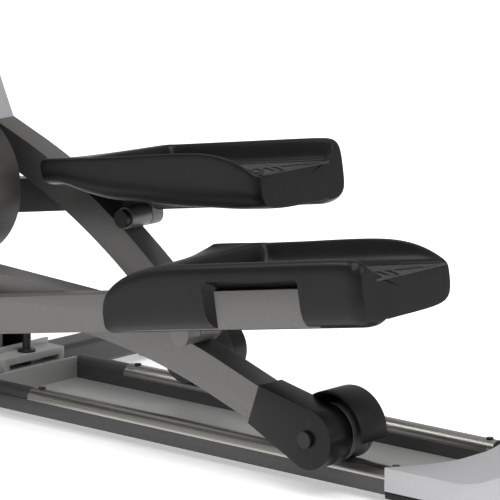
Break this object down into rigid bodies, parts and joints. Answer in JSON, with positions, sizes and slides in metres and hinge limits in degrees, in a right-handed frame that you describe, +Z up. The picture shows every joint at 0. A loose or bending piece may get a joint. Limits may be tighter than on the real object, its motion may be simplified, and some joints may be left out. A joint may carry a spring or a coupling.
{
  "type": "elliptical trainer",
  "caption": "Front-drive elliptical trainer with rail wheels, moulded foot pedals, swing handlebars and a central mast.",
  "frame": {"origin": "on the floor under the middle of the machine's bounding box", "axes": "+X towards the machine's rear, where the rail ends; +Y to the user's right; +Z up"},
  "size_m": [1.66, 0.66, 1.5867],
  "materials": {
    "frame_steel": "satin powder coat",
    "arm_steel": "satin metallic paint",
    "silver_paint": "satin silver paint",
    "rail_aluminium": "brushed",
    "bright_steel": "zinc plated",
    "black_steel": "black zinc",
    "flywheel_iron": "painted",
    "black_plastic": "fine grain",
    "housing_plastic": "fine grain",
    "silver_plastic": "satin silver",
    "tread_rubber": "matte",
    "wheel_urethane": "matte"
  },
  "bodies": {
    "frame": {"front_stabilizer": "frame_steel", "stabilizer_caps": "black_plastic", "spine_beam": "frame_steel", "mid_stabilizer": "frame_steel", "left_rail": "frame_steel", "right_rail": "frame_steel", "deck_pan": "frame_steel", "left_rail_sleeve": "rail_aluminium", "right_rail_sleeve": "rail_aluminium", "frame_screws": "black_steel", "rear_cap": "silver_plastic", "rear_cap_base": "black_plastic", "rear_feet": "wheel_urethane", "drive_frame": "frame_steel", "mast": "silver_paint", "shroud_left": "housing_plastic", "shroud_right": "housing_plastic", "tail_cover": "housing_plastic", "shroud_top": "silver_plastic", "crank_bearings": "bright_steel", "flywheel_axle": "bright_steel", "brake_magnet": "black_steel", "swing_shaft": "bright_steel", "console": "housing_plastic", "fixed_handlebar": "silver_paint", "pulse_grips": "tread_rubber", "power_inlet": "black_plastic", "drive_belt": "tread_rubber"},
    "crank_set": {"crank_axle": "bright_steel", "drive_pulley": "black_plastic", "left_crank_arm": "silver_paint", "right_crank_arm": "silver_paint"},
    "flywheel": {"flywheel": "flywheel_iron"},
    "idler": {"idler_wheel": "black_plastic"},
    "left_transport": {"left_transport_wheel": "wheel_urethane"},
    "right_transport": {"right_transport_wheel": "wheel_urethane"},
    "left_carriage": {"left_roller_axle": "bright_steel"},
    "left_wheel": {"left_rail_wheel": "wheel_urethane"},
    "left_arm": {"left_roller_arm": "arm_steel", "left_arm_boot": "black_plastic", "left_wheel_hood": "black_plastic"},
    "left_pedal": {"left_pedal_pin": "bright_steel", "left_pedal_arm": "arm_steel", "left_pedal_cover": "black_plastic", "left_pedal_tray": "black_plastic", "left_tread_pad": "tread_rubber"},
    "left_swing": {"left_swing_arm": "silver_paint", "left_swing_grip": "tread_rubber"},
    "right_carriage": {"right_roller_axle": "bright_steel"},
    "right_wheel": {"right_rail_wheel": "wheel_urethane"},
    "right_arm": {"right_roller_arm": "arm_steel", "right_arm_boot": "black_plastic", "right_wheel_hood": "black_plastic"},
    "right_pedal": {"right_pedal_pin": "bright_steel", "right_pedal_arm": "arm_steel", "right_pedal_cover": "black_plastic", "right_pedal_tray": "black_plastic", "right_tread_pad": "tread_rubber"},
    "right_swing": {"right_swing_arm": "silver_paint", "right_swing_grip": "tread_rubber"}
  },
  "joints": [
    {"name": "crank_turn", "type": "hinge", "parent": "frame", "child": "crank_set", "pos_m": [-0.483, 0, 0.3515], "axis": [0, 1, 0], "continuous": true},
    {"name": "flywheel_spin", "type": "hinge", "parent": "frame", "child": "flywheel", "pos_m": [-0.668, 0, 0.3005], "axis": [0, 1, 0], "continuous": true},
    {"name": "idler_spin", "type": "hinge", "parent": "frame", "child": "idler", "pos_m": [-0.60669, 0, 0.23926], "axis": [0, 1, 0], "continuous": true},
    {"name": "left_transport_spin", "type": "hinge", "parent": "frame", "child": "left_transport", "pos_m": [-0.802, 0, 0.032], "axis": [0, 1, 0], "continuous": true},
    {"name": "right_transport_spin", "type": "hinge", "parent": "frame", "child": "right_transport", "pos_m": [-0.802, 0, 0.032], "axis": [0, 1, 0], "continuous": true},
    {"name": "left_stride", "type": "slide", "parent": "frame", "child": "left_carriage", "axis": [1, 0, 0], "range_m": [-0.44, 0.01]},
    {"name": "right_stride", "type": "slide", "parent": "frame", "child": "right_carriage", "axis": [1, 0, 0], "range_m": [-0.01, 0.44]},
    {"name": "left_wheel_spin", "type": "hinge", "parent": "left_carriage", "child": "left_wheel", "pos_m": [0.59391, 0, 0.08], "axis": [0, 1, 0], "continuous": true},
    {"name": "left_arm_rock", "type": "hinge", "parent": "left_carriage", "child": "left_arm", "pos_m": [0.59391, 0, 0.08], "axis": [0, 1, 0], "range_deg": [-5, 24]},
    {"name": "left_pedal_pitch", "type": "hinge", "parent": "left_arm", "child": "left_pedal", "pos_m": [0.39311, 0, 0.19063], "axis": [0, 1, 0], "range_deg": [-23, 5]},
    {"name": "left_swing", "type": "hinge", "parent": "frame", "child": "left_swing", "pos_m": [-0.38613, 0, 1.00655], "axis": [0, 1, 0], "range_deg": [-1, 28]},
    {"name": "right_wheel_spin", "type": "hinge", "parent": "right_carriage", "child": "right_wheel", "pos_m": [0.15989, 0, 0.08], "axis": [0, 1, 0], "continuous": true},
    {"name": "right_arm_rock", "type": "hinge", "parent": "right_carriage", "child": "right_arm", "pos_m": [0.15989, 0, 0.08], "axis": [0, 1, 0], "range_deg": [-24, 5]},
    {"name": "right_pedal_pitch", "type": "hinge", "parent": "right_arm", "child": "right_pedal", "pos_m": [0.00514, 0, 0.24915], "axis": [0, 1, 0], "range_deg": [-5, 23]},
    {"name": "right_swing", "type": "hinge", "parent": "frame", "child": "right_swing", "pos_m": [-0.38613, 0, 1.00655], "axis": [0, 1, 0], "range_deg": [-28, 1]}
  ],
  "couplings": [
    {"joint": "flywheel_spin", "follows": "crank_turn", "ratio": 5.3636},
    {"joint": "idler_spin", "follows": "crank_turn", "ratio": -6.5556},
    {"joint": "right_stride", "follows": "left_stride", "ratio": -1},
    {"joint": "left_wheel_spin", "follows": "left_stride", "rad_per_m": 30.675},
    {"joint": "right_wheel_spin", "follows": "left_stride", "rad_per_m": -30.675},
    {"joint": "left_swing", "follows": "left_stride", "rad_per_m": -1.1039},
    {"joint": "right_swing", "follows": "left_stride", "rad_per_m": 1.1039},
    {"joint": "right_arm_rock", "follows": "left_arm_rock", "ratio": -1},
    {"joint": "left_pedal_pitch", "follows": "left_arm_rock", "ratio": -0.95},
    {"joint": "right_pedal_pitch", "follows": "left_arm_rock", "ratio": 0.95}
  ]
}
